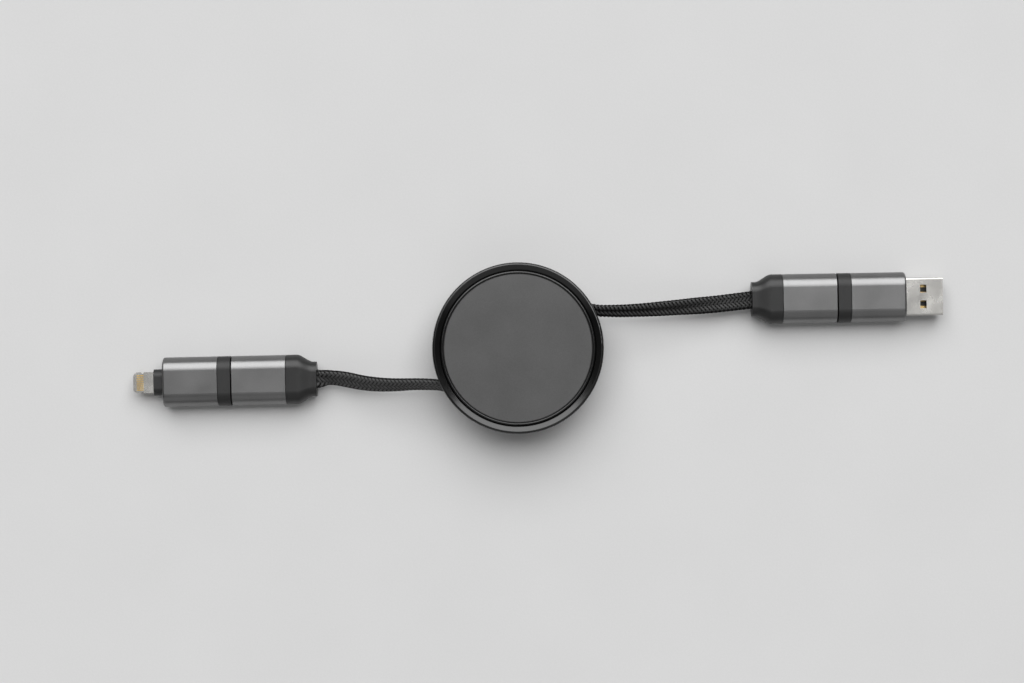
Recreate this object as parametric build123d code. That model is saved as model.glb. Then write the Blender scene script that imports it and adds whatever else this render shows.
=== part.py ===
from build123d import *
import os
from math import acos, cos, degrees, pi, radians, sin, sqrt, tan

# Retractable charging cable. A spring reel pays out one flat cable to both sides at once.
# Each end of the cable has an oval plug, and an adapter is pulled onto each plug.
# Millimetres, +Z up. The origin is on the reel's axis, at its underside.

# Reel shells
reel_d = 54.0            # outside diameter
side_wall = 1.8          # side wall of both shells
floor_t = 1.5            # floor of the lower shell
roof_t = 1.3             # roof of the upper shell under the face plate
foot_round = 1.5         # lower edge of the reel
rim_round = 0.7          # outer edge of the rim's crest
crest_w = 0.8            # from the reel's outside to the crest of the rim
bevel_w = 1.5            # bevel that falls inward from the crest, seen from above
bevel_drop = 0.75        # and its height
moat_w = 0.35            # dark moat between the bevel and the land
moat_step = 0.3          # the moat's floor falls this far towards the land
land_w = 0.8             # black land round the face plate
land_round = 0.45        # its outer edge
land_lip = 0.3           # its inner edge
crest_above_land = 0.1   # the rim's crest stands this far above the land
seam_lip_t = 0.8         # tongue of the lower shell inside the seam
seam_lip_h = 1.2
seam_fit = 0.05          # clearance round the tongue
seam_bevel = 0.2         # bevel on both outer edges of the seam

# Face plate
plate_t = 0.8
plate_gap = 0.25         # shadow line round the plate
plate_proud = 0.1        # the plate stands this far above the land
plate_bevel = 0.15

# Flat cable
cable_w = 5.4
cable_t = 2.0
cable_room = 0.2         # room above and below the cable in the spool
exit_y = 12.2            # the cable leaves the reel this far off its centre line
window_side = 1.0        # room beside the cable in the exit window
window_end = 0.6         # room above and below it
window_flare = 0.6       # the window's mouth widens by this much on each side
entry_run = 1.6          # the cable is straight this far in front of a boot

# Spool
run_gap = 0.3            # between the turning spool and the lower shell
roof_gap = 0.4           # between the turning spool and the roof
spring_bay_h = 3.1       # height of the spring's room under the spool
flange_t = 0.9
flange_gap = 2.0         # between the flange's edge and the side wall
winding_margin = 4.0     # the flange stands this far out past the winding
winding_fit = 0.1        # winding on the hub
hub_d = 18.0
channel_side = 0.2       # room beside the cable in the channel across the hub
stub_d = 6.8             # stub shaft that the spring pulls on
pin_d = 3.0              # pivot pin of the lower shell
boss_d = 4.0             # pivot boss of the upper shell
pivot_fit = 0.05         # radial running clearance of all pivots
pivot_end_gap = 0.15
peg_d = 2.6              # pegs that carry the upper flange
peg_fit = 0.05

# Mainspring
spring_t = 0.3
spring_turns = 6
spring_gap = 0.2         # between the outer turns and the stub or the cup
tang_depth = 0.9         # how far both ends hook in
tang_side = 0.15         # room beside the tang in its slot
cup_wall = 1.0           # of the spring cup

# Ratchet and pawl
ring_wall = 2.5          # ratchet ring under the spool
ring_inset = 0.3         # from the flange's edge to the ring
ring_gap = 0.5           # between the ring and the floor
notch_count = 8
notch_depth = 1.3
pawl_at = 270.0          # bearing of the pawl's post, in degrees
pawl_reach = 7.0         # from the post to the middle of the nose
pawl_w = 1.4
pawl_t = 1.6
pawl_eye_wall = 0.8
pawl_post_d = 2.0
pawl_side = 0.4          # room beside the pawl's eye
pawl_lift = 0.2          # boss that the pawl lies on
pawl_clear = 0.3         # nose to the ring when free, and to the notch when home

# Plug and adapter bodies, all of one stadium section
plug_w = 15.8
plug_h = 8.4
sleeve_wall = 0.8
sleeve_bevel = 0.2
plug_sleeve_len = 17.4
adapter_sleeve_len = 17.6
front_round = 0.7        # front edge of the adapter's sleeve
collar_len = 4.0
joint_gap = 0.3          # between the plug's sleeve and the adapter's collar
core_recess = 0.4        # core behind the front edge of the plug's sleeve
spigot_len = 3.0         # boot and collar reach this far into their sleeves
slip_fit = 0.1           # pieces that slide into the sleeves

# Boot
boot_len = 9.6
boot_end_w = 11.1
boot_end_h = 6.4
boot_neck_len = 1.0      # straight stretch at the cable
boot_flare_len = 5.3     # curved stretch

# Oval plug and its socket
oval_w = 8.34
oval_h = 2.56
oval_wall = 0.3
oval_reach = 6.65        # plug in front of its sleeve
oval_root = 4.5          # plug inside its sleeve
oval_fit = 0.1           # plug in the socket
socket_wall = 0.3
socket_end_gap = 0.25    # behind the plug's tip
socket_base_t = 1.0
tongue_w = 6.6
tongue_t = 0.7
tongue_len = 4.4
tongue_slot = 0.12       # room round the tongue inside the plug
contact_t = 0.08
oval_contact_w = 0.3
oval_contact_pitch = 0.62
oval_contacts = 8        # on each face
oval_contact_len = 3.2

# Circuit boards
board_w = 10.4
board_t = 0.8
board_len = 6.0
board_gap = 0.1          # room round a board or connector root in its core

# Flat plug of the right adapter
flat_w = 12.0
flat_h = 4.5
flat_wall = 0.3
flat_corner = 0.5
flat_reach = 11.75
flat_root = 5.0
flat_tongue_t = 1.84
flat_tongue_back = 0.3   # the tongue's end behind the shell's mouth
flat_block_len = 6.0     # insert at full height at the back
latch_w = 2.5            # latch windows
latch_len = 2.0
latch_spacing = 5.0
latch_back = 6.2         # from the mouth to the middle of a window
flat_contact_w = 1.0
flat_contact_len = 7.4
flat_contact_x = (-3.5, -1.0, 1.0, 3.5)
flat_contact_back = 1.2

# Tab connector of the left adapter
neck_w = 8.3
neck_h = 4.6
neck_reach = 3.0
neck_flange = 0.8        # shoulder that holds the neck behind the sleeve's front wall
neck_flange_t = 1.6
tab_w = 6.7
tab_t = 1.5
tab_reach = 6.65
tab_root = 4.0           # tab inside the neck and the core
tab_corner = 1.5         # rounded corners of the blade's end
tab_notch_r = 0.45       # side notches that the port's springs hold
tab_notch_back = 2.9
tab_contacts_n = 8       # on each face
tab_contact_w = 0.42
tab_contact_pitch = 0.66
tab_contact_len = 2.2
tab_contact_back = 1.1

# Where the plugs lie: end of the boot, and bearing of the plug in degrees
right_boot = (74.5, 15.5)
right_bearing = 1.0
left_boot = (-64.1, -9.85)
left_bearing = 181.25

# Radii of the reel, from the outside in
reel_r = reel_d / 2
cavity_r = reel_r - side_wall
crest_r = reel_r - crest_w
bevel_foot_r = crest_r - bevel_w
land_r = bevel_foot_r - moat_w
recess_r = land_r - land_w
plate_r = recess_r - plate_gap
flange_r = cavity_r - flange_gap
winding_r = flange_r - winding_margin
hub_r = hub_d / 2
stub_r = stub_d / 2
ring_r = flange_r - ring_inset
ring_bore_r = ring_r - ring_wall

# Pawl: its eye between the ratchet ring and the spring cup, its nose free and home
pawl_eye_r = pawl_post_d / 2 + pawl_eye_wall
pawl_post_r = ring_bore_r - pawl_side - pawl_eye_r
cup_r = pawl_post_r - pawl_eye_r - pawl_side - cup_wall
pawl_free_r = ring_bore_r - pawl_clear - pawl_w / 2
pawl_home_r = pawl_free_r + notch_depth
pawl_pivot = Rot(0, 0, pawl_at) * Pos(pawl_post_r, 0)

# Heights of the reel, from the floor up
spring_z0 = floor_t + run_gap
flange_z0 = spring_z0 + spring_bay_h
spring_z1 = flange_z0 - run_gap
ring_z0 = floor_t + ring_gap
bay_z0 = flange_z0 + flange_t
bay_z1 = bay_z0 + cable_w + 2 * cable_room
flange_z1 = bay_z1 + flange_t
seam_z = (bay_z0 + bay_z1) / 2
roof_z = flange_z1 + roof_gap
plate_z0 = roof_z + roof_t
plate_z1 = plate_z0 + plate_t
land_z = plate_z1 - plate_proud
crest_z = land_z + crest_above_land
bevel_foot_z = crest_z - bevel_drop
moat_z = bevel_foot_z - moat_step

# Round tube with the flat cable's own section area
cord_d = 2 * sqrt(((cable_w - cable_t) * cable_t + pi * cable_t ** 2 / 4) / pi)

# Places along a plug's own axis, counted from the end of its boot
sleeve_z0 = boot_len
sleeve_z1 = sleeve_z0 + plug_sleeve_len
collar_z0 = sleeve_z1 + joint_gap
adapter_z0 = collar_z0 + collar_len
adapter_z1 = adapter_z0 + adapter_sleeve_len
oval_z0 = sleeve_z1 - oval_root
oval_z1 = sleeve_z1 + oval_reach
plug_board_z0 = oval_z0 - board_gap - board_len
socket_w = oval_w + 2 * (oval_fit + socket_wall)
socket_h = oval_h + 2 * (oval_fit + socket_wall)
socket_z1 = oval_z1 + socket_end_gap + socket_base_t
adapter_board_z0 = socket_z1 + 2 * board_gap
flat_z0 = adapter_z1 - flat_root
flat_z1 = adapter_z1 + flat_reach
neck_z0 = adapter_z1 - sleeve_wall - neck_flange_t
neck_z1 = adapter_z1 + neck_reach
tab_z0 = adapter_z1 - tab_root
tab_z1 = neck_z1 + tab_reach
bore_w = plug_w - 2 * sleeve_wall
bore_h = plug_h - 2 * sleeve_wall
slip_w = bore_w - 2 * slip_fit
slip_h = bore_h - 2 * slip_fit
axis_z = plug_h / 2


def write(name, shape):
    """One STEP file for each piece."""
    export_step(shape, os.path.join("parts", name + ".step"))


def turned(points, rounds=()):
    """Solid of revolution about Z from (radius, height) points, with some corners rounded."""
    face = make_face(Polyline(*points, close=True).edges())
    for corner, radius in rounds:
        vertex = face.vertices().sort_by_distance((corner[0], corner[1], 0))[0]
        face = fillet(vertex, radius)
    return revolve(Plane.XZ * face, axis=Axis.Z)


def ring(outer, inner, z0, z1):
    return bar(Circle(outer) - Circle(inner), z0, z1)


def bar(section, z0, z1):
    """Straight bar of one section along Z."""
    return extrude(Pos(0, 0, z0) * section, amount=z1 - z0)


def stadium_tube(width, height, wall, z0, z1):
    outside = SlotOverall(width, height)
    return bar(outside - SlotOverall(width - 2 * wall, height - 2 * wall), z0, z1)


def block(width, height, z0, z1, x=0.0, y=0.0):
    return bar(Pos(x, y) * Rectangle(width, height), z0, z1)


# Reel shells

def exit_windows():
    """Tools for both cable windows: an upright stadium that flares where it meets the outside."""
    tall = cable_w + 2 * window_end
    wide = cord_d + 2 * window_side
    mouth_x = sqrt(reel_r ** 2 - exit_y ** 2)
    across = Plane(origin=(hub_r, exit_y, seam_z), x_dir=(0, 0, 1), z_dir=(1, 0, 0))
    mouth = across.offset(mouth_x - hub_r - 2 * window_flare)
    through = extrude(across * SlotOverall(tall, wide), amount=reel_r)
    flare = loft([
        mouth * SlotOverall(tall, wide),
        mouth.offset(4 * window_flare) * SlotOverall(tall + 4 * window_flare, wide + 4 * window_flare),
    ])
    window = through + flare
    return window + Rot(0, 0, 180) * window


def lower_shell():
    """Cup with the seam's tongue, the spring cup, the spool's pin and the pawl's post."""
    tongue_r = cavity_r + seam_lip_t
    shell = turned(
        [(0, 0), (reel_r, 0), (reel_r, seam_z - seam_bevel), (reel_r - seam_bevel, seam_z),
         (tongue_r, seam_z), (tongue_r, seam_z + seam_lip_h), (cavity_r, seam_z + seam_lip_h),
         (cavity_r, floor_t), (0, floor_t)],
        [((reel_r, 0), foot_round)])
    cup = ring(cup_r + cup_wall, cup_r, floor_t, spring_z1)
    cup -= Pos(cup_r, 0, 0) * block(4 * cup_wall, spring_t + 2 * tang_side, floor_t, spring_z1)
    pin = bar(Circle(pin_d / 2), floor_t, flange_z0 - pivot_end_gap)
    seat = bar(pawl_pivot * Circle(pawl_eye_r), floor_t, floor_t + pawl_lift)
    post = bar(pawl_pivot * Circle(pawl_post_d / 2), floor_t, floor_t + pawl_lift + pawl_t)
    return shell + cup + pin + seat + post - exit_windows()


def upper_shell():
    """Cap with the beveled rim, the moat, the land that holds the plate and the spool's boss."""
    rebate_r = cavity_r + seam_lip_t + seam_fit
    rebate_z = seam_z + seam_lip_h + seam_fit
    cap = turned(
        [(0, roof_z), (cavity_r, roof_z), (cavity_r, rebate_z), (rebate_r, rebate_z),
         (rebate_r, seam_z), (reel_r - seam_bevel, seam_z), (reel_r, seam_z + seam_bevel),
         (reel_r, crest_z), (crest_r, crest_z), (bevel_foot_r, bevel_foot_z),
         (land_r, moat_z), (land_r, land_z), (recess_r, land_z), (recess_r, plate_z0),
         (0, plate_z0)],
        [((reel_r, crest_z), min(rim_round, 0.9 * crest_w)),
         ((land_r, land_z), min(land_round, 0.57 * land_w)),
         ((recess_r, land_z), min(land_lip, 0.4 * land_w))])
    boss = bar(Circle(boss_d / 2), bay_z1 + pivot_end_gap, roof_z)
    return cap + boss - exit_windows()


def face_plate():
    return turned([(0, plate_z0), (plate_r, plate_z0), (plate_r, plate_z1 - plate_bevel),
                   (plate_r - plate_bevel, plate_z1), (0, plate_z1)])


# Spool, mainspring and pawl

def pawl_outline(nose_r, grow):
    """Lever from its post to its nose, swung until the nose is at nose_r, and grown all round."""
    lean = acos((nose_r ** 2 - pawl_post_r ** 2 - pawl_reach ** 2) / (2 * pawl_post_r * pawl_reach))
    lever = Pos(pawl_reach / 2, 0) * SlotCenterToCenter(pawl_reach, pawl_w + 2 * grow)
    return pawl_pivot * Rot(0, 0, -degrees(lean)) * lever


def across_hub(width):
    """S-shaped band across the hub: two half circles that run out tangent to the hub's edge."""
    bend = hub_r / 2
    outside = bend + width / 2
    half_band = Circle(outside) - Circle(bend - width / 2)
    half_band -= Pos(outside, 0) * Rectangle(2 * outside, 2 * outside)
    run_out = sqrt((hub_r + winding_fit) ** 2 - (hub_r - width / 2) ** 2) + cable_t / 4
    arm = Pos(0, bend) * half_band
    arm += Pos(run_out / 2, hub_r) * Rectangle(run_out, width)
    return arm + Rot(0, 0, 180) * arm


def pegs(diameter, z0, z1):
    """Pegs in the two lobes of the hub."""
    return [bar(Pos(0, y) * Circle(diameter / 2), z0, z1) for y in (-hub_r / 2, hub_r / 2)]


def spool_drum():
    """Stub shaft, lower flange, hub with the cable's channel, and the notched ratchet ring."""
    bore = bar(Circle(pin_d / 2 + pivot_fit), spring_z0, flange_z0)
    stub = bar(Circle(stub_r), spring_z0, flange_z0) - bore
    stub -= Pos(stub_r, 0, 0) * block(2 * (tang_depth + tang_side), spring_t + 2 * tang_side,
                                      spring_z0, flange_z0)
    flange = bar(Circle(flange_r), flange_z0, bay_z0)
    hub = bar(Circle(hub_r) - across_hub(cable_t + 2 * channel_side), bay_z0, bay_z1)
    ratchet = Circle(ring_r) - Circle(ring_bore_r)
    notch = pawl_outline(pawl_home_r, pawl_clear)
    for step in range(notch_count):
        ratchet -= Rot(0, 0, 360 * step / notch_count) * notch
    return stub + flange + hub + bar(ratchet, ring_z0, flange_z0) + pegs(peg_d, bay_z1, flange_z1)


def spool_flange():
    disc = bar(Circle(flange_r) - Circle(boss_d / 2 + pivot_fit), bay_z1, flange_z1)
    return disc - pegs(peg_d + 2 * peg_fit, bay_z1, flange_z1)


def cable_winding():
    """All turns of both halves of the cable, with the stretch that crosses the hub."""
    section = Circle(winding_r) - Circle(hub_r + winding_fit)
    return bar(section + across_hub(cable_t), bay_z0 + cable_room, bay_z1 - cable_room)


def mainspring():
    """Spiral strip of half circles about two centres, hooked into the stub and the cup."""
    first_r = stub_r + spring_gap + spring_t / 2
    last_r = cup_r - spring_gap - spring_t / 2
    shift = (last_r - first_r) / spring_turns / 2
    edges = []
    for half in range(2 * spring_turns):
        centre = (shift * (half % 2), 0)
        radius = first_r + shift * half
        for side in (-spring_t / 2, spring_t / 2):
            edges.append(CenterArc(centre, radius + side, 180 * (half % 2), 180))
    for end_r in (first_r, last_r):
        edges.append(Line((end_r - spring_t / 2, 0), (end_r + spring_t / 2, 0)))
    strip = make_face(edges)
    inner_tang = stub_r - tang_depth
    inner_len = first_r + spring_t / 2 - inner_tang
    outer_len = cup_r + tang_depth - (last_r - spring_t / 2)
    strip += Pos(inner_tang + inner_len / 2, 0) * Rectangle(inner_len, spring_t)
    strip += Pos(cup_r + tang_depth - outer_len / 2, 0) * Rectangle(outer_len, spring_t)
    return bar(strip, spring_z0, spring_z1)


def lock_pawl():
    """Lever with an eye on its post, its nose free of the ratchet ring."""
    eye = pawl_pivot * Circle(pawl_eye_r)
    hole = pawl_pivot * Circle(pawl_post_d / 2 + pivot_fit)
    z0 = floor_t + pawl_lift
    return bar(eye + pawl_outline(pawl_free_r, 0) - hole, z0, z0 + pawl_t)


# Pieces of a plug, along its own axis from the end of the boot

def boot():
    """Strain relief that swells from the cable to the sleeve along a smooth S, with a spigot."""
    def section(place):
        rise = min(max((place - boot_neck_len) / boot_flare_len, 0), 1)
        swell = rise * rise * (3 - 2 * rise)
        width = boot_end_w + (plug_w - boot_end_w) * swell
        height = boot_end_h + (plug_h - boot_end_h) * swell
        return Pos(0, 0, place) * SlotOverall(width, height)

    flare_z1 = boot_neck_len + boot_flare_len
    stations = [boot_neck_len + boot_flare_len * step / 6 for step in range(7)]
    neck = bar(SlotOverall(boot_end_w, boot_end_h), 0, boot_neck_len)
    flare = loft([section(place) for place in stations])
    trunk = bar(SlotOverall(plug_w, plug_h), flare_z1, sleeve_z0)
    spigot = bar(SlotOverall(slip_w, slip_h), sleeve_z0, sleeve_z0 + spigot_len)
    return neck + flare + trunk + spigot


def plug_sleeve():
    tube = stadium_tube(plug_w, plug_h, sleeve_wall, sleeve_z0, sleeve_z1)
    ends = tube.edges().filter_by_position(Axis.Z, sleeve_z0, sleeve_z0)
    ends += tube.edges().filter_by_position(Axis.Z, sleeve_z1, sleeve_z1)
    outer = ends.filter_by(lambda edge: edge.bounding_box().size.X > bore_w
                           or abs(edge.center().X) > bore_w / 2
                           or abs(edge.center().Y) > bore_h / 2 + sleeve_wall / 2)
    return chamfer(outer, sleeve_bevel)


def board(z0, z1):
    return block(board_w, board_t, z0, z1)


def board_pocket(z0, z1):
    return block(board_w + 2 * board_gap, board_t + 2 * board_gap, z0 - board_gap, z1 + board_gap)


def plug_core():
    """Moulding inside the sleeve that carries the oval plug and its board."""
    core = bar(SlotOverall(slip_w, slip_h), sleeve_z0 + spigot_len, sleeve_z1 - core_recess)
    seat = SlotOverall(oval_w + 2 * board_gap, oval_h + 2 * board_gap)
    return core - bar(seat, oval_z0 - board_gap, sleeve_z1) - board_pocket(plug_board_z0, oval_z0)


def oval_shell():
    return stadium_tube(oval_w, oval_h, oval_wall, oval_z0, oval_z1)


def oval_insert():
    """Lining of the oval plug, open in front for the socket's tongue."""
    width = oval_w - 2 * oval_wall - board_gap
    height = oval_h - 2 * oval_wall - board_gap
    slot_z0 = oval_z1 + socket_end_gap - tongue_len - 2 * tongue_slot
    lining = bar(SlotOverall(width, height), oval_z0, oval_z1 - tongue_slot)
    return lining - block(tongue_w + 2 * tongue_slot, tongue_t + 2 * (tongue_slot + contact_t),
                          slot_z0, oval_z1)


def oval_contact_row():
    """Contact strips on both faces of the slot inside the oval plug."""
    face_y = tongue_t / 2 + tongue_slot + contact_t / 2
    z1 = oval_z1 - 2 * tongue_slot
    row = []
    for place in range(oval_contacts):
        x = (place - (oval_contacts - 1) / 2) * oval_contact_pitch
        for y in (-face_y, face_y):
            row.append(block(oval_contact_w, contact_t, z1 - oval_contact_len, z1, x, y))
    return Compound(row)


# Pieces of an adapter

def collar():
    """Dark band with a spigot, bored for the socket's shell."""
    band = bar(SlotOverall(plug_w, plug_h), collar_z0, adapter_z0)
    spigot = bar(SlotOverall(slip_w, slip_h), adapter_z0, adapter_z0 + spigot_len)
    bore = SlotOverall(socket_w + 2 * board_gap, socket_h + 2 * board_gap)
    return band + spigot - bar(bore, collar_z0, adapter_z0 + spigot_len)


def socket_shell():
    return stadium_tube(socket_w, socket_h, socket_wall, collar_z0, socket_z1)


def socket_tongue():
    """Base that closes the socket, with the tongue that enters the plug."""
    base_z0 = oval_z1 + socket_end_gap
    base = SlotOverall(oval_w + 2 * oval_fit - board_gap, oval_h + 2 * oval_fit - board_gap)
    return (bar(base, base_z0, socket_z1)
            + block(tongue_w, tongue_t, base_z0 - tongue_len, base_z0))


def adapter_sleeve(opening):
    """Drawn sleeve whose front wall has an opening for the connector."""
    front = bar(SlotOverall(plug_w, plug_h), adapter_z0, adapter_z1)
    front = fillet(front.faces().sort_by(Axis.Z)[-1].edges(), min(front_round, 0.9 * sleeve_wall))
    front = chamfer(front.faces().sort_by(Axis.Z)[0].edges(), sleeve_bevel)
    front -= bar(SlotOverall(bore_w, bore_h), adapter_z0, adapter_z1 - sleeve_wall)
    return front - bar(opening, adapter_z1 - 2 * sleeve_wall, adapter_z1)


def adapter_core(connector_root, root_z0):
    """Moulding between the collar's spigot and the sleeve's front wall."""
    core_z0 = adapter_z0 + spigot_len
    core = bar(SlotOverall(slip_w, slip_h), core_z0, adapter_z1 - sleeve_wall)
    socket_seat = SlotOverall(socket_w + 2 * board_gap, socket_h + 2 * board_gap)
    core -= bar(socket_seat, core_z0, socket_z1 + board_gap)
    core -= bar(connector_root, root_z0 - board_gap, adapter_z1)
    return core - board_pocket(adapter_board_z0, root_z0)


# Flat plug of the right adapter

def flat_section(grow):
    return RectangleRounded(flat_w + 2 * grow, flat_h + 2 * grow, flat_corner)


def flat_shell():
    """Folded metal shell with two latch windows in each broad face."""
    inside = RectangleRounded(flat_w - 2 * flat_wall, flat_h - 2 * flat_wall,
                              flat_corner - flat_wall / 2)
    shell = bar(flat_section(0) - inside, flat_z0, flat_z1)
    latch_z = flat_z1 - latch_back
    for x in (-latch_spacing / 2, latch_spacing / 2):
        shell -= block(latch_w, 2 * flat_h, latch_z - latch_len / 2, latch_z + latch_len / 2, x)
    return shell


def flat_tongue():
    """Insert at full height at the back, and a tongue along one broad face."""
    width = flat_w - 2 * flat_wall - 2 * board_gap
    height = flat_h - 2 * flat_wall - 2 * board_gap
    tongue_y = -height / 2 + flat_tongue_t / 2
    back = block(width, height, flat_z0, flat_z0 + flat_block_len)
    return back + block(width, flat_tongue_t, flat_z0, flat_z1 - flat_tongue_back, 0, tongue_y)


def flat_contact_row():
    face_y = -(flat_h / 2 - flat_wall - board_gap) + flat_tongue_t + contact_t / 2
    z1 = flat_z1 - flat_tongue_back - flat_contact_back
    z0 = max(z1 - flat_contact_len, flat_z0 + flat_block_len)
    return Compound([block(flat_contact_w, contact_t, z0, z1, x, face_y) for x in flat_contact_x])


# Tab connector of the left adapter

def tab_neck():
    """Plastic neck, held by a shoulder behind the sleeve's front wall."""
    neck = bar(SlotOverall(neck_w, neck_h), neck_z0, neck_z1)
    shoulder = SlotOverall(neck_w + 2 * neck_flange, neck_h + 2 * neck_flange)
    neck += bar(shoulder, neck_z0, adapter_z1 - sleeve_wall)
    return neck - block(tab_w + 2 * board_gap, tab_t + 2 * board_gap, neck_z0, neck_z1)


def tab_blade():
    """Flat metal tab with rounded end corners and a notch in each side."""
    blade = block(tab_w, tab_t, tab_z0, tab_z1)
    corners = blade.edges().filter_by(Axis.Y).group_by(Axis.Z)[-1]
    blade = fillet(corners, tab_corner)
    notch = extrude(Plane.XZ * Circle(tab_notch_r), amount=tab_t, both=True)
    for x in (-tab_w / 2, tab_w / 2):
        blade -= Pos(x, 0, tab_z1 - tab_notch_back) * notch
    return blade


def tab_contact_row():
    face_y = tab_t / 2 + contact_t / 2
    z1 = tab_z1 - tab_contact_back
    row = []
    for place in range(tab_contacts_n):
        x = (place - (tab_contacts_n - 1) / 2) * tab_contact_pitch
        for y in (-face_y, face_y):
            row.append(block(tab_contact_w, contact_t, z1 - tab_contact_len, z1, x, y))
    return Compound(row)


# Free runs of the cable, from the winding out of the window to the boot

def entry(boot_end, bearing):
    """Last two points of a run: in front of the boot on its axis, and on its end face."""
    back = Vector(cos(radians(bearing)), sin(radians(bearing))) * entry_run
    return [(boot_end[0] - back.X, boot_end[1] - back.Y, axis_z), (*boot_end, axis_z)]


right_route = [(12.2, 17.45, seam_z), (21.2, 11.95, seam_z), (31.8, 11.7, 8.5), (41.5, 12.2, 7.4),
               (51.2, 13.0, 5.95), (61.0, 13.78, 4.7), (66.6, 14.4, 4.3),
               *entry(right_boot, right_bearing)]
left_route = [(-12.2, -17.45, seam_z), (-21.2, -11.9, seam_z), (-31.0, -11.15, 8.5),
              (-40.8, -11.78, 7.2), (-48.9, -11.4, 5.5), (-55.8, -9.75, 4.5), (-60.6, -9.3, 4.25),
              *entry(left_boot, left_bearing)]


def cord_tube(name, route):
    """Round tube along straight runs joined by the largest arcs that the runs allow."""
    points = [Vector(*point) for point in route]
    runs = [after - before for before, after in zip(points, points[1:])]
    bends = []
    for before, after in zip(runs, runs[1:]):
        half_turn = radians(before.get_angle(after)) / 2
        bends.append(0.45 * min(before.length, after.length) / tan(half_turn))
    path = FilletPolyline(*points, radius=bends)
    start = Plane(origin=points[0], z_dir=runs[0])
    tube = sweep(start * Circle(cord_d / 2), path=path)
    expected = pi * cord_d ** 2 / 4 * path.length
    print(name, "length", round(path.length, 1), "volume ratio", round(tube.volume / expected, 4),
          "radii", [round(bend, 1) for bend in bends])
    return tube


def lay(bearing, boot_end):
    """Place of a plug: its axis along the bearing, its broad faces level, lying on the table."""
    turn = radians(bearing)
    return Plane(origin=(*boot_end, axis_z), x_dir=(-sin(turn), cos(turn), 0),
                 z_dir=(cos(turn), sin(turn), 0)).location


os.makedirs("parts", exist_ok=True)

write("lower_shell", lower_shell())
write("upper_shell", upper_shell())
write("face_plate", face_plate())
write("spool_drum", spool_drum())
write("spool_flange", spool_flange())
write("cable_winding", cable_winding())
write("mainspring", mainspring())
write("lock_pawl", lock_pawl())
write("right_cable", cord_tube("right_cable", right_route))
write("left_cable", cord_tube("left_cable", left_route))

right_place = lay(right_bearing, right_boot)
left_place = lay(left_bearing, left_boot)

for side, place in (("right", right_place), ("left", left_place)):
    write(side + "_boot", place * boot())
    write(side + "_plug_sleeve", place * plug_sleeve())
    write(side + "_plug_core", place * plug_core())
    write(side + "_plug_board", place * board(plug_board_z0, oval_z0 - board_gap))
    write(side + "_oval_shell", place * oval_shell())
    write(side + "_oval_insert", place * oval_insert())
    write(side + "_oval_contacts", place * oval_contact_row())
    write(side + "_collar", place * collar())
    write(side + "_socket_shell", place * socket_shell())
    write(side + "_socket_tongue", place * socket_tongue())

tab_root_section = Rectangle(tab_w + 2 * board_gap, tab_t + 2 * board_gap)
neck_seat = SlotOverall(neck_w + 2 * (neck_flange + board_gap), neck_h + 2 * (neck_flange + board_gap))
flat_opening = flat_section(board_gap)
neck_opening = SlotOverall(neck_w + 2 * board_gap, neck_h + 2 * board_gap)

write("right_adapter_sleeve", right_place * adapter_sleeve(flat_opening))
write("right_adapter_core", right_place * adapter_core(flat_opening, flat_z0))
write("right_adapter_board", right_place * board(adapter_board_z0, flat_z0 - board_gap))
write("flat_plug_shell", right_place * flat_shell())
write("flat_plug_tongue", right_place * flat_tongue())
write("flat_plug_contacts", right_place * flat_contact_row())

left_core = adapter_core(tab_root_section, tab_z0)
left_core -= bar(neck_seat, neck_z0 - board_gap, adapter_z1)
write("left_adapter_sleeve", left_place * adapter_sleeve(neck_opening))
write("left_adapter_core", left_place * left_core)
write("left_adapter_board", left_place * board(adapter_board_z0, tab_z0 - board_gap))
write("tab_neck", left_place * tab_neck())
write("tab_blade", left_place * tab_blade())
write("tab_contacts", left_place * tab_contact_row())
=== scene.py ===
from collections import namedtuple

import bpy
import numpy as np
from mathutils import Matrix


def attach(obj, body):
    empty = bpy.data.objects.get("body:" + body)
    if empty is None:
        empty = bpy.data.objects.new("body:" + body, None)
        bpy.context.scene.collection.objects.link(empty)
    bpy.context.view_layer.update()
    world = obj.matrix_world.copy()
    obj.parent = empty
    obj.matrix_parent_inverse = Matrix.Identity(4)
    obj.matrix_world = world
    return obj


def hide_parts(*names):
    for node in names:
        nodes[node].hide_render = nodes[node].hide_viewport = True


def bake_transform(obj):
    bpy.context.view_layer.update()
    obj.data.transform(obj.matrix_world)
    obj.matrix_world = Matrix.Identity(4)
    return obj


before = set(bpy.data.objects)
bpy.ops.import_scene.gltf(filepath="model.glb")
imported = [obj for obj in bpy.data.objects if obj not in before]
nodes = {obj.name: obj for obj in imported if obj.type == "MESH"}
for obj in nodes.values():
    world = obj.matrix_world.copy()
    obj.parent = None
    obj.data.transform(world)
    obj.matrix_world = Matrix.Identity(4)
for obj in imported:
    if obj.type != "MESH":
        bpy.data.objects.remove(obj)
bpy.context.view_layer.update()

# Retractable charging cable: a spring reel, two runs of flat braided cable, two plugs and two
# adapters. Metres, +Z up. The origin is on the reel's axis, at its underside.

MM = 0.001
UP = (0.0, 0.0, 1.0)
scene = bpy.context.scene
scene.view_settings.view_transform = "Standard"


# Camera: straight above the reel, upper edge of the picture towards +Y

CAMERA_LENS, CAMERA_SENSOR = 75.0, 36.0     # in millimetres, as a camera takes them
CAMERA_PLACE = (-1.9 * MM, 2.1 * MM, 685 * MM)

camera_data = bpy.data.cameras.new("camera")
camera_data.lens = CAMERA_LENS
camera_data.sensor_width = CAMERA_SENSOR
camera = bpy.data.objects.new("camera", camera_data)
camera.location = CAMERA_PLACE
scene.collection.objects.link(camera)
scene.camera = camera


# Braid of both runs

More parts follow.
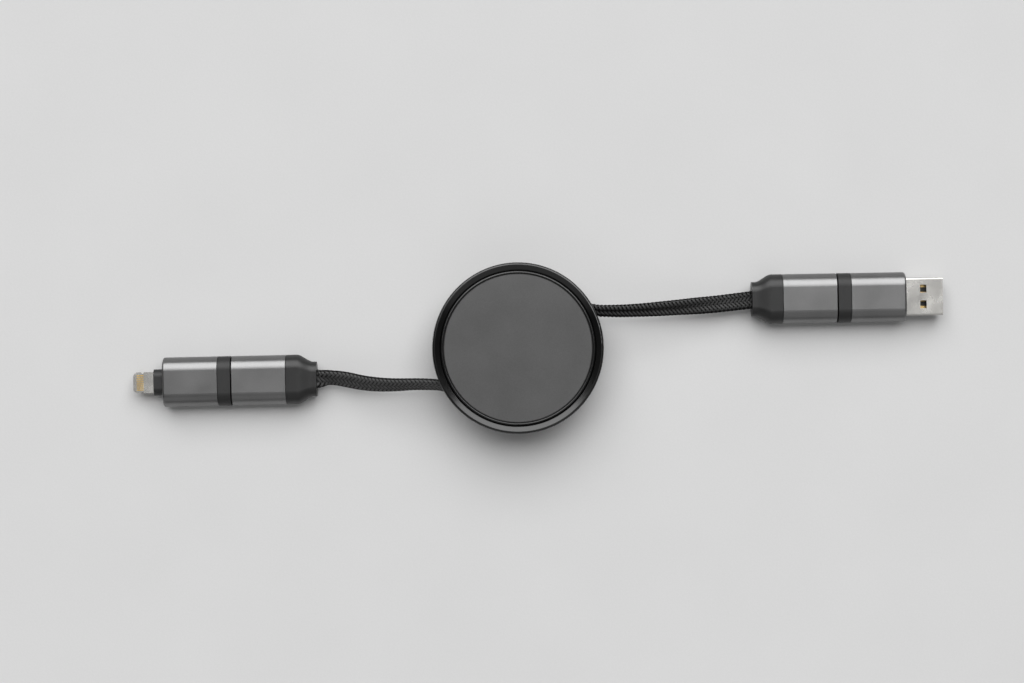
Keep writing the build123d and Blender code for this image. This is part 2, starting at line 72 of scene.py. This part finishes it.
BRAID_WIDTH = 5.8 * MM           # over the ribbons' crowns
BRAID_THICKNESS = 2.1 * MM
BRAID_PITCH = 10.3 * MM          # one turn of a ribbon round the cable
CARRIERS = 8                     # ribbons in each direction
CROSSING_CYCLE = 4               # crossings after which over and under repeat
CROSSING_SHIFT = 0.5             # puts a crown midway between two crossings
CROWN_FLATNESS = 1.5             # how long a ribbon stays up or down
WAIST = 0.10 * MM                # fall from a round edge's crest to the middle of a broad face
SLOPE = 1.2 * MM                 # width of that fall
FACE_POINTS, EDGE_POINTS = 400, 200     # on a broad face and on a round edge of the section
RIBBON_CORNERS = 10              # points round a ribbon's section
RIBBON_STEP = 0.18 * MM          # from one section of a ribbon to the next
CORE_CORNERS = 48
CORE_DEPTH = 0.20 * MM           # of the dark core under the middle of the ribbons
CORE_LEAST = 0.05 * MM           # least half thickness of the core
EDGE_SHADE = 0.07                # painted shade: share of a ribbon's light that is left on the round edges
YARN_SHIFT = 2.0                 # in the yarn map, from one ribbon to the next
ROUTE_ORDER, ROUTE_POINTS = 3, 24       # of the spline, and its points for each control point
TABLE_MARGIN = 0.2               # tables are eased this far past both ends of a run
TABLE_POINTS, TABLE_WINDOW = 701, 45    # points of an eased table, and those in a running mean

# One run of cable, from the spool to the boot. A table gives a value at shares of the way. A pair
# gives it at the spool and at the boot.
#   route    control points of the middle line
#   lean     table: lean of the broad face from level, in degrees
#   drift    table: turn of the whole braid round the cable, in turns
#   ribbons  pair, for the ribbons of both directions: half width, half thickness, mean height
#            over the mid surface, and rise to a crown
#   shade    pair, for both directions: how light a ribbon is on a broad face. Its changes along
#            the run, between the two directions and between the two runs are painted light and
#            shade
#   sheen    pair: gloss of a ribbon's crown
#   fade     pair: power of a ribbon's profile by which its light fades from the crown to the sides,
#            a painted shade
Run = namedtuple("Run", "route lean drift ribbons shade sheen fade")

RUNS = {
    # Twisted at the spool, so that one direction is full there and the other one is sunk
    "right": Run(
        route=np.array([
            (12.2, 17.45, 8.7), (21.2, 11.95, 8.7), (31.8, 11.7, 8.5), (41.5, 12.2, 7.4),
            (51.2, 13.0, 5.95), (61.0, 13.78, 4.7), (66.6, 14.4, 4.3), (72.9, 15.2, 4.2),
            (74.5, 15.42, 4.2), (76.0, 15.5, 4.2)]) * MM,
        lean=np.array([
            (0.0, 86), (0.18, 62), (0.36, 50), (0.46, 42), (0.50, 39), (0.62, 29), (0.74, 9),
            (0.84, 0), (1.0, 0)]),
        drift=np.array([
            (0.0, -0.14), (0.25, -0.11), (0.50, -0.04), (0.60, -0.02), (0.76, -0.015),
            (1.0, -0.01)]),
        ribbons=np.array([
            [(0.37, 0.28, 0.00, 0.16), (0.28, 0.15, -0.08, 0.07)],
            [(0.39, 0.15, 0.21, 0.08), (0.41, 0.12, 0.20, 0.05)]]) * MM,
        # Painted light and shade: the first direction light at the spool, the sunk second
        # direction dark
        shade=np.array([(0.62, 0.02), (0.065, 0.06)]),
        sheen=np.array([0.74, 0.37]),
        fade=np.array([1.0, 0.35])),
    "left": Run(
        route=np.array([
            (-12.2, -17.45, 8.7), (-21.2, -11.9, 8.7), (-31.0, -11.3, 8.5), (-40.8, -11.8, 7.2),
            (-48.9, -11.25, 5.5), (-55.8, -9.75, 4.5), (-60.6, -9.3, 4.25), (-62.5, -9.68, 4.2),
            (-64.1, -9.85, 4.2), (-65.6, -9.88, 4.2)]) * MM,
        lean=np.array([
            (0.0, -86), (0.20, -68), (0.32, -63), (0.43, -61), (0.48, -57), (0.54, -53),
            (0.59, -50), (0.65, -45), (0.70, -43), (0.76, -39), (0.82, -40), (0.88, -46),
            (0.93, -40), (0.965, -12), (0.985, 0), (1.0, 0)]),
        drift=np.array([(0.0, 0.094), (1.0, 0.094)]),
        ribbons=np.array([
            [(0.47, 0.08, 0.00, 0.03), (0.47, 0.08, 0.00, 0.03)],
            [(0.45, 0.13, -0.01, 0.06), (0.45, 0.13, -0.01, 0.06)]]) * MM,
        # Painted light: lighter at the spool than at the boot
        shade=np.array([(0.70, 0.67), (0.31, 0.31)]),
        sheen=np.array([0.45, 0.45]),
        fade=np.array([0.4, 0.4])),
}


def unit(vectors):
    return vectors / np.linalg.norm(vectors, axis=-1, keepdims=True)


def route_line(name, route):
    """Points of the smooth line that the route's points control, a NURBS spline."""
    curve = bpy.data.curves.new(name, "CURVE")
    curve.dimensions = "3D"
    spline = curve.splines.new("NURBS")
    spline.points.add(len(route) - 1)
    spline.points.foreach_set("co", np.column_stack([route, np.ones(len(route))]).ravel())
    spline.order_u = ROUTE_ORDER
    spline.use_endpoint_u = True
    spline.resolution_u = ROUTE_POINTS
    holder = bpy.data.objects.new(name, curve)
    line_mesh = bpy.data.meshes.new_from_object(holder)
    line = np.empty(3 * len(line_mesh.vertices))
    line_mesh.vertices.foreach_get("co", line)
    bpy.data.meshes.remove(line_mesh)
    bpy.data.objects.remove(holder)
    bpy.data.curves.remove(curve)
    return line.reshape(-1, 3)


def along_line(line, count):
    """count points at equal distances along a line, with the distance of each from its start."""
    walked = np.concatenate([[0.0], np.cumsum(np.linalg.norm(np.diff(line, axis=0), axis=1))])
    places = np.linspace(0.0, walked[-1], count)
    points = [np.interp(places, walked, line[:, axis]) for axis in range(3)]
    return np.column_stack(points), places


def along_run(pair, share):
    """Values that run evenly from the pair's first to its second, on a new last axis."""
    at_spool, at_boot = pair
    return at_spool[..., None] + (at_boot - at_spool)[..., None] * share


def eased(table, share):
    """Smooth curve through a table: straight pieces between its rows, then a running mean."""
    fine = np.linspace(-TABLE_MARGIN, 1.0 + TABLE_MARGIN, TABLE_POINTS)
    straight = np.interp(fine, table[:, 0], table[:, 1])
    window = np.hanning(TABLE_WINDOW)
    smooth = np.convolve(straight, window / window.sum(), mode="same")
    return np.interp(share, fine, smooth)


def leaning_frames(points, lean):
    """Broad and thin direction of the cable at each point.

    The level side is Z x tangent. Both directions turn about the tangent by the lean.
    """
    tangent = unit(np.gradient(points, axis=0))
    side = unit(np.cross(UP, tangent))
    rise = np.cross(tangent, side)
    turn = np.radians(lean)[:, None]
    broad = np.cos(turn) * side + np.sin(turn) * rise
    thin = np.cos(turn) * rise - np.sin(turn) * side
    return broad, thin


def section(shares, half_flat, radius):
    """Point and outward normal of the cable's section, by the share of the way round it.

    Two round edges of the radius stand half_flat from the middle. Between them the height falls
    by WAIST x sin^2 of the distance from an edge's crest, and is level in the middle.
    """
    flat = np.linspace(half_flat, -half_flat, FACE_POINTS, endpoint=False)
    inward = np.clip((half_flat - np.abs(flat)) / SLOPE, 0.0, 1.0)
    fall = WAIST * np.sin(np.pi / 2 * inward) ** 2
    bend = np.linspace(np.pi / 2, 3 * np.pi / 2, EDGE_POINTS, endpoint=False)
    across = np.concatenate([flat, radius * np.cos(bend) - half_flat])
    up = np.concatenate([radius - fall, radius * np.sin(bend)])
    across = np.concatenate([across, -across, across[:1]])
    up = np.concatenate([up, -up, up[:1]])
    walked = np.concatenate([[0.0], np.cumsum(np.hypot(np.diff(across), np.diff(up)))])
    normal_a = np.gradient(up, walked)
    normal_u = -np.gradient(across, walked)
    place = np.mod(shares, 1.0)
    return [np.interp(place, walked / walked[-1], value)
            for value in (across, up, normal_a, normal_u)]


def tube_faces(rings, corners, first):
    """Quads of a tube of rings x corners points, and its two ends, numbered from first."""
    ring = np.arange(rings - 1)[:, None]
    corner = np.arange(corners)[None, :]
    after = (corner + 1) % corners
    quads = np.stack([ring * corners + corner, ring * corners + after,
                      (ring + 1) * corners + after, (ring + 1) * corners + corner], axis=-1)
    start = np.arange(corners)[::-1] + first
    end = (rings - 1) * corners + np.arange(corners) + first
    return (quads.reshape(-1, 4) + first).tolist() + [start.tolist(), end.tolist()]


def tubes_mesh(name, tubes):
    """Mesh of closed tubes. Each tube is a grid of points, rings x corners."""
    faces, first = [], 0
    for tube in tubes:
        rings, corners = tube.shape[:2]
        faces += tube_faces(rings, corners, first)
        first += rings * corners
    mesh = bpy.data.meshes.new(name)
    mesh.from_pydata(np.concatenate([tube.reshape(-1, 3) for tube in tubes]), [], faces)
    return mesh


def lay_map(mesh, name, shape, u, v):
    """UV map from u and v, by ribbon, ring and corner as in shape. On the core both are 0."""
    values = np.zeros((len(mesh.vertices), 2))
    values[:np.prod(shape), 0] = np.broadcast_to(u, shape).ravel()
    values[:np.prod(shape), 1] = np.broadcast_to(v, shape).ravel()
    corner_points = np.empty(len(mesh.loops), int)
    mesh.loops.foreach_get("vertex_index", corner_points)
    layer = mesh.uv_layers.new(name=name)
    layer.uv.foreach_set("vector", values[corner_points].astype(np.float32).ravel())


def core_tube(points, broad, thin, half_flat, radius):
    """Dark core: the cable's section, drawn in along its normal by CORE_DEPTH."""
    shares = np.arange(CORE_CORNERS) / CORE_CORNERS
    across, up, normal_a, normal_u = section(shares, half_flat, radius)
    across = across - normal_a * CORE_DEPTH
    up = np.sign(up) * np.maximum(np.abs(up - normal_u * CORE_DEPTH), CORE_LEAST)
    return points[:, None] + across[:, None] * broad[:, None] + up[:, None] * thin[:, None]


def braided_cable(name, run):
    """Flat cable in a braid of 2 over, 2 under, round a dark core.

    At the distance s along the run, ribbon i of the first direction is at the share
    i/8 + s/pitch + drift round the mid surface, and ribbon j of the second direction at
    j/8 - s/pitch + drift. A count runs along each ribbon. Where ribbons i and j cross it is i + j,
    apart from whole cycles, on both. A ribbon's height over the mid surface is a flattened cosine
    of the count with a cycle of 4, and the two directions are up in turn. A ribbon's section is a
    flat oval across its own way.
    """
    line = route_line(name, run.route)
    length = np.linalg.norm(np.diff(line, axis=0), axis=1).sum()
    points, walked = along_line(line, int(length / RIBBON_STEP))
    share = walked / length
    turns = walked / BRAID_PITCH
    broad, thin = leaning_frames(points, eased(run.lean, share))

    ribbon = np.arange(2 * CARRIERS)[:, None]
    number = ribbon % CARRIERS
    first = ribbon < CARRIERS
    way = np.where(first, 1.0, -1.0)
    sizes = along_run(run.ribbons, share)[:, :, None]
    half_width, half_thick, mean_height, rise = np.where(first, *sizes)

    crown = run.ribbons[0, 0, 1:].sum()     # of the first direction at the spool
    radius = BRAID_THICKNESS / 2 - crown
    half_flat = (BRAID_WIDTH - BRAID_THICKNESS) / 2
    place = number / CARRIERS + way * turns + eased(run.drift, share)
    across, up, normal_a, normal_u = section(place, half_flat, radius)
    count = 2 * number + way * 2 * CARRIERS * turns - CROSSING_SHIFT
    swing = np.cos(2 * np.pi / CROSSING_CYCLE * count)
    wave = way * np.tanh(CROWN_FLATNESS * swing) / np.tanh(CROWN_FLATNESS)
    height = mean_height + rise * wave

    normal = normal_a[..., None] * broad + normal_u[..., None] * thin
    middle = (points + across[..., None] * broad + up[..., None] * thin
              + height[..., None] * normal)
    forward = unit(np.gradient(middle, axis=1))
    sideways = unit(np.cross(normal, forward))
    outward = np.cross(forward, sideways)
    angle = 2 * np.pi * np.arange(RIBBON_CORNERS) / RIBBON_CORNERS
    oval_across = (np.cos(angle) * half_width[..., None])[..., None]
    oval_up = (np.sin(angle) * half_thick[..., None])[..., None]
    ribbons = (middle[:, :, None] + oval_across * sideways[:, :, None]
               + oval_up * outward[:, :, None])

    mesh = tubes_mesh(name, [*ribbons, core_tube(points, broad, thin, half_flat, radius)])
    mesh.shade_smooth()

    # Yarn map: round the ribbon, and along it in turns of the braid.
    # Lift map: how glossy and how light the yarn is. Both are highest on a ribbon's crown. The
    # lightness holds painted shade on a ribbon's sides, in its dips and on the cable's round
    # edges, and the painted light and shade of the run's shade pair.
    shape = ribbons.shape[:3]
    round_ribbon = np.abs(angle / np.pi - 1.0)
    lay_map(mesh, "yarn", shape, round_ribbon, (turns + YARN_SHIFT * ribbon)[..., None])
    # Painted shade: a ribbon's light fades from its crown to its sides, where it meets the next
    # ribbons
    crowned = np.clip(np.sin(angle), 0.0, 1.0) ** along_run(run.fade, share)[:, None]
    glossy = along_run(run.sheen, share)[:, None]
    # Painted shade: the round edges of the cable are darker than its broad faces
    painted_edge_shade = EDGE_SHADE + (1.0 - EDGE_SHADE) * normal_u ** 2
    # Painted shade in the dips, where a ribbon goes under the others, and the painted light and
    # shade of the run's shade pair
    light = np.where(first, *along_run(run.shade, share)) * painted_edge_shade * (1.0 + wave) / 2
    lay_map(mesh, "lift", shape, crowned * glossy, crowned * light[..., None])

    cable = bpy.data.objects.new(name, mesh)
    scene.collection.objects.link(cable)
    return cable, points, length


# Finishes

PATTERN_SPAN = (0.3, 0.7)        # most values of a cloudy pattern lie between these
EVEN = (1.0, 1.0, 1.0)           # a pattern that isn't stretched
CLOUD_DETAIL, SPECK_DETAIL = 3.0, 2.0
CLOUD_SHARE, SPECK_SHARE = 0.5, 0.5     # of clouds and specks in the tone


def new_finish(name):
    material = bpy.data.materials.new(name)
    material.use_nodes = True
    tree = material.node_tree
    tree.nodes.clear()
    shader = tree.nodes.new("ShaderNodeBsdfPrincipled")
    output = tree.nodes.new("ShaderNodeOutputMaterial")
    tree.links.new(shader.outputs["BSDF"], output.inputs["Surface"])
    return material, tree, shader


def grain(tree, size, detail, stretch=EVEN, vector=None):
    """Cloudy pattern of the given size, on the vector or else the piece's own coordinates."""
    if vector is None:
        vector = tree.nodes.new("ShaderNodeTexCoord").outputs["Object"]
    mapping = tree.nodes.new("ShaderNodeMapping")
    mapping.inputs["Scale"].default_value = stretch
    noise = tree.nodes.new("ShaderNodeTexNoise")
    noise.inputs["Scale"].default_value = 1.0 / size
    noise.inputs["Detail"].default_value = detail
    tree.links.new(vector, mapping.inputs["Vector"])
    tree.links.new(mapping.outputs["Vector"], noise.inputs["Vector"])
    return noise.outputs["Fac"]


def reckon(tree, operation, *values):
    """Result of a Math node. Each value is a number or the output of another node."""
    node = tree.nodes.new("ShaderNodeMath")
    node.operation = operation
    for socket, value in zip(node.inputs, values):
        if isinstance(value, float):
            socket.default_value = value
        else:
            tree.links.new(value, socket)
    return node.outputs["Value"]


def between(tree, pattern, low, high, span=PATTERN_SPAN):
    """Number that runs from low to high as the pattern runs over the span."""
    node = tree.nodes.new("ShaderNodeMapRange")
    node.inputs["From Min"].default_value, node.inputs["From Max"].default_value = span
    node.inputs["To Min"].default_value = low
    node.inputs["To Max"].default_value = high
    tree.links.new(pattern, node.inputs["Value"])
    return node.outputs["Result"]


def tones(tree, pattern, start, end, span=PATTERN_SPAN):
    """Colour that runs from start to end as the pattern runs over the span."""
    ramp = tree.nodes.new("ShaderNodeValToRGB")
    for element, position, colour in zip(ramp.color_ramp.elements, span, (start, end)):
        element.position = position
        element.color = (*colour, 1.0)
    tree.links.new(pattern, ramp.inputs["Fac"])
    return ramp.outputs["Color"]


def relief(tree, pattern, depth):
    bump = tree.nodes.new("ShaderNodeBump")
    bump.inputs["Distance"].default_value = depth
    tree.links.new(pattern, bump.inputs["Height"])
    return bump.outputs["Normal"]


def grey(tone):
    return (tone, tone, tone)


def finish(name, dark, light, rough, speck, depth, metal=0.0, cloud=6.0 * MM, stretch=EVEN,
           specular=0.5):
    """Solid finish: tone and gloss drift over the cloud size, and the surface has fine specks."""
    material, tree, shader = new_finish(name)
    drift = grain(tree, cloud, CLOUD_DETAIL)
    fine = grain(tree, speck, SPECK_DETAIL, stretch)
    specks = reckon(tree, "MULTIPLY", fine, SPECK_SHARE)
    mixed = reckon(tree, "MULTIPLY_ADD", drift, CLOUD_SHARE, specks)
    tree.links.new(tones(tree, mixed, dark, light), shader.inputs["Base Color"])
    tree.links.new(between(tree, drift, *rough), shader.inputs["Roughness"])
    tree.links.new(relief(tree, fine, depth), shader.inputs["Normal"])
    shader.inputs["Metallic"].default_value = metal
    shader.inputs["Specular IOR Level"].default_value = specular
    return material


YARN_TONES = (grey(0.003), grey(0.200))
YARN_ROUGH = (0.38, 0.50)
FILAMENTS = (9.0, 4.0, 1.0)      # specks round a ribbon and along a turn of the braid
FILAMENT_DETAIL, FILAMENT_DEPTH = 1.0, 0.02 * MM
DYE_STRETCHES = (0.5, 3.0, 1.0)  # the same for the dye
DYE_DETAIL, DYE_SPREAD = 2.0, (0.8, 1.1)
GLOSS_AHEAD, GLOSS_ASLANT = 1.0, 0.06   # gloss of yarn that faces the eye, and of slanting yarn
GLOSS_SPAN = (0.05, 0.30)        # slant over which the gloss is lost


def braid_finish(name):
    """Yarn: fine filaments along each ribbon, stretches of dye, and painted shade on the ribbons'
    sides and in their dips.
    """
    material, tree, shader = new_finish(name)
    yarn = tree.nodes.new("ShaderNodeUVMap")
    yarn.uv_map = "yarn"
    lift = tree.nodes.new("ShaderNodeUVMap")
    lift.uv_map = "lift"
    parts = tree.nodes.new("ShaderNodeSeparateXYZ")
    tree.links.new(lift.outputs["UV"], parts.inputs["Vector"])
    filaments = grain(tree, 1.0, FILAMENT_DETAIL, FILAMENTS, yarn.outputs["UV"])
    dye = grain(tree, 1.0, DYE_DETAIL, DYE_STRETCHES, yarn.outputs["UV"])
    shown = reckon(tree, "MULTIPLY", parts.outputs["Y"], between(tree, dye, *DYE_SPREAD))
    slant = tree.nodes.new("ShaderNodeLayerWeight").outputs["Facing"]
    ahead = between(tree, slant, GLOSS_AHEAD, GLOSS_ASLANT, GLOSS_SPAN)
    gloss = reckon(tree, "MULTIPLY", parts.outputs["X"], ahead)
    tree.links.new(tones(tree, shown, *YARN_TONES, (0.0, 1.0)), shader.inputs["Base Color"])
    tree.links.new(between(tree, filaments, *YARN_ROUGH), shader.inputs["Roughness"])
    tree.links.new(relief(tree, filaments, FILAMENT_DEPTH), shader.inputs["Normal"])
    tree.links.new(gloss, shader.inputs["Specular IOR Level"])
    return material


LOOKS = {
    "shell_black": dict(dark=grey(0.0015), light=grey(0.003), rough=(0.17, 0.22),
                        speck=0.22 * MM, depth=0.001 * MM, specular=0.6),
    "plate_grey": dict(dark=grey(0.068), light=grey(0.093), rough=(0.43, 0.46),
                       speck=0.28 * MM, depth=0.004 * MM, metal=0.5, cloud=14.0 * MM),
    "sleeve_grey": dict(dark=grey(0.172), light=grey(0.222), rough=(0.30, 0.34),
                        speck=0.28 * MM, depth=0.003 * MM, metal=1.0, cloud=9.0 * MM),
    "boot_dark": dict(dark=grey(0.006), light=grey(0.010), rough=(0.36, 0.43),
                      speck=0.18 * MM, depth=0.006 * MM),
    "collar_dark": dict(dark=grey(0.006), light=grey(0.010), rough=(0.46, 0.54),
                        speck=0.18 * MM, depth=0.005 * MM),
    "spool_plastic": dict(dark=grey(0.46), light=grey(0.56), rough=(0.38, 0.48),
                          speck=0.3 * MM, depth=0.004 * MM),
    "pawl_plastic": dict(dark=grey(0.66), light=grey(0.76), rough=(0.36, 0.46),
                         speck=0.3 * MM, depth=0.004 * MM),
    "spring_steel": dict(dark=grey(0.42), light=grey(0.54), rough=(0.26, 0.36),
                         speck=0.1 * MM, depth=0.003 * MM, metal=1.0, stretch=(1.0, 1.0, 12.0)),
    "core_plastic": dict(dark=grey(0.020), light=grey(0.030), rough=(0.46, 0.58),
                         speck=0.2 * MM, depth=0.006 * MM),
    "board_green": dict(dark=(0.004, 0.05, 0.02), light=(0.008, 0.09, 0.035), rough=(0.28, 0.40),
                        speck=0.5 * MM, depth=0.02 * MM, cloud=1.2 * MM),
    "nickel": dict(dark=(0.52, 0.51, 0.49), light=(0.66, 0.65, 0.62), rough=(0.20, 0.30),
                   speck=0.08 * MM, depth=0.002 * MM, metal=1.0, stretch=(0.06, 1.0, 1.0)),
    "insert_black": dict(dark=grey(0.012), light=grey(0.020), rough=(0.40, 0.52),
                         speck=0.15 * MM, depth=0.006 * MM),
    "contact_gold": dict(dark=(0.72, 0.50, 0.20), light=(0.86, 0.64, 0.30), rough=(0.22, 0.34),
                         speck=0.06 * MM, depth=0.002 * MM, metal=1.0, stretch=(0.06, 1.0, 1.0)),
    "winding_braid": dict(dark=grey(0.018), light=grey(0.046), rough=(0.52, 0.66),
                          speck=0.6 * MM, depth=0.15 * MM, cloud=3.0 * MM),
    "floor_paper": dict(dark=grey(0.58), light=grey(0.61), rough=(0.8, 0.9),
                        speck=0.6 * MM, depth=0.01 * MM, cloud=40.0 * MM, specular=0.2),
}
finishes = {name: finish(name, **look) for name, look in LOOKS.items()}
finishes["cable_braid"] = braid_finish("cable_braid")

NODE_FINISH = {
    "lower_shell": "shell_black", "upper_shell": "shell_black", "face_plate": "plate_grey",
    "spool_drum": "spool_plastic", "spool_flange": "spool_plastic",
    "cable_winding": "winding_braid", "mainspring": "spring_steel", "lock_pawl": "pawl_plastic",
    "flat_plug_shell": "nickel", "flat_plug_tongue": "insert_black",
    "flat_plug_contacts": "contact_gold", "tab_neck": "collar_dark", "tab_blade": "nickel",
    "tab_contacts": "contact_gold",
}
SIDE_FINISH = {
    "boot": "boot_dark", "plug_sleeve": "sleeve_grey", "plug_core": "core_plastic",
    "plug_board": "board_green", "oval_shell": "nickel", "oval_insert": "insert_black",
    "oval_contacts": "contact_gold", "collar": "collar_dark", "socket_shell": "nickel",
    "socket_tongue": "insert_black", "adapter_sleeve": "sleeve_grey",
    "adapter_core": "core_plastic", "adapter_board": "board_green", "cable": "cable_braid",
}
for side in RUNS:
    NODE_FINISH.update({f"{side}_{piece}": name for piece, name in SIDE_FINISH.items()})
for node, name in NODE_FINISH.items():
    nodes[node].data.materials.clear()
    nodes[node].data.materials.append(finishes[name])


# Cables: a braided cable for each run, from the spool to the boot, in place of the plain one

for side, run in RUNS.items():
    cable, line, length = braided_cable(side + "_braided_cable", run)
    cable.data.materials.append(finishes["cable_braid"])
    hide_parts(side + "_cable")
    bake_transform(cable)


# Mainspring: the coil turns with the spool, and the last turn stays hooked into the reel

SPRING_THICKNESS = 0.3 * MM
SPRING_LOW, SPRING_HIGH = 1.8 * MM, 4.6 * MM
SPRING_STEPS, TANG_STEPS = 90, 6        # sections in a turn and in a tang
COIL_RADII = (2.5 * MM, 3.75 * MM, 12.28 * MM)      # tang's end, start and end of the spiral
END_RADII = (15.9 * MM, 14.65 * MM, 12.83 * MM)
COIL_TURNS, END_TURNS = 5, -1


def spring_strip(name, radii, turns, body):
    """Flat strip on edge, a rectangle along a path.

    The path is a straight tang along X from the first radius to the second. From there it is a
    spiral round Z whose radius runs evenly from the second to the third.
    """
    tang_end, start, end = radii
    tang = np.linspace(tang_end, start, TANG_STEPS, endpoint=False)
    along = np.linspace(0.0, 1.0, SPRING_STEPS * abs(turns))
    radius = np.concatenate([tang, start + (end - start) * along])
    angle = np.concatenate([np.zeros(TANG_STEPS), 2 * np.pi * turns * along])
    height = np.full(len(radius), (SPRING_LOW + SPRING_HIGH) / 2)
    middle = np.column_stack([radius * np.cos(angle), radius * np.sin(angle), height])
    sideways = np.cross(UP, unit(np.gradient(middle, axis=0)))
    across = np.array([1, -1, -1, 1])[None, :, None] * SPRING_THICKNESS / 2
    up = np.array([1, 1, -1, -1])[None, :, None] * np.array(UP) * (SPRING_HIGH - SPRING_LOW) / 2
    rings = middle[:, None] + across * sideways[:, None] + up

    mesh = tubes_mesh(name, [rings])
    mesh.materials.append(finishes["spring_steel"])
    strip = bpy.data.objects.new(name, mesh)
    scene.collection.objects.link(strip)
    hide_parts("mainspring")
    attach(strip, body)


spring_strip("mainspring_coil", COIL_RADII, COIL_TURNS, "spool")
spring_strip("mainspring_end", END_RADII, END_TURNS, "reel")


# Floor and light

FLOOR_HALF = 2.0                 # half the floor's width

# Place, point that the lamp faces, width, height, radiance. A lamp may not face straight down,
# because its level side is taken from Z.
LAMPS = {
    "key_lamp": ((0.0, 4.212, 5.391), (0.0, 0.0, 0.0), 9.9, 7.29, 3.7),
    "top_lamp": ((1.6, -2.70, 11.25), (1.6, -2.694, 0.0), 8.1, 9.0, 0.39),
    "fill_lamp": ((0.0, -6.408, 5.382), (0.0, 0.0, 0.0), 18.0, 5.4, 0.40),
}

# The surroundings are lighter near the horizon than overhead. The span is in Z of the direction.
SKY_TONES, SKY_SPAN = (grey(0.38), grey(0.06)), (0.10, 0.40)


def floor_sheet():
    """Level square round the origin."""
    corners = FLOOR_HALF * np.array([(-1, -1, 0), (1, -1, 0), (1, 1, 0), (-1, 1, 0)])
    mesh = bpy.data.meshes.new("floor")
    mesh.from_pydata(corners, [], [(0, 1, 2, 3)])
    mesh.materials.append(finishes["floor_paper"])
    floor = bpy.data.objects.new("floor", mesh)
    scene.collection.objects.link(floor)


def soft_lamp(name, place, aim, width, height, radiance):
    """Rectangular lamp at place that faces aim. Its power is radiance x pi x area."""
    data = bpy.data.lights.new(name, "AREA")
    data.shape = "RECTANGLE"
    data.size = width
    data.size_y = height
    data.energy = radiance * np.pi * width * height
    lamp = bpy.data.objects.new(name, data)
    back = unit(np.array(place) - np.array(aim))
    right = unit(np.cross(UP, back))
    turned = np.eye(4)
    turned[:3] = np.column_stack([right, np.cross(back, right), back, place])
    lamp.matrix_world = turned.T.tolist()
    scene.collection.objects.link(lamp)


def studio_sky():
    world = bpy.data.worlds.new("studio")
    world.use_nodes = True
    scene.world = world
    sky = world.node_tree
    sky.nodes.clear()
    direction = sky.nodes.new("ShaderNodeTexCoord")
    parts = sky.nodes.new("ShaderNodeSeparateXYZ")
    background = sky.nodes.new("ShaderNodeBackground")
    output = sky.nodes.new("ShaderNodeOutputWorld")
    sky.links.new(direction.outputs["Generated"], parts.inputs["Vector"])
    sky.links.new(tones(sky, parts.outputs["Z"], *SKY_TONES, SKY_SPAN), background.inputs["Color"])
    sky.links.new(background.outputs["Background"], output.inputs["Surface"])


floor_sheet()
for name, lamp in LAMPS.items():
    soft_lamp(name, *lamp)
studio_sky()
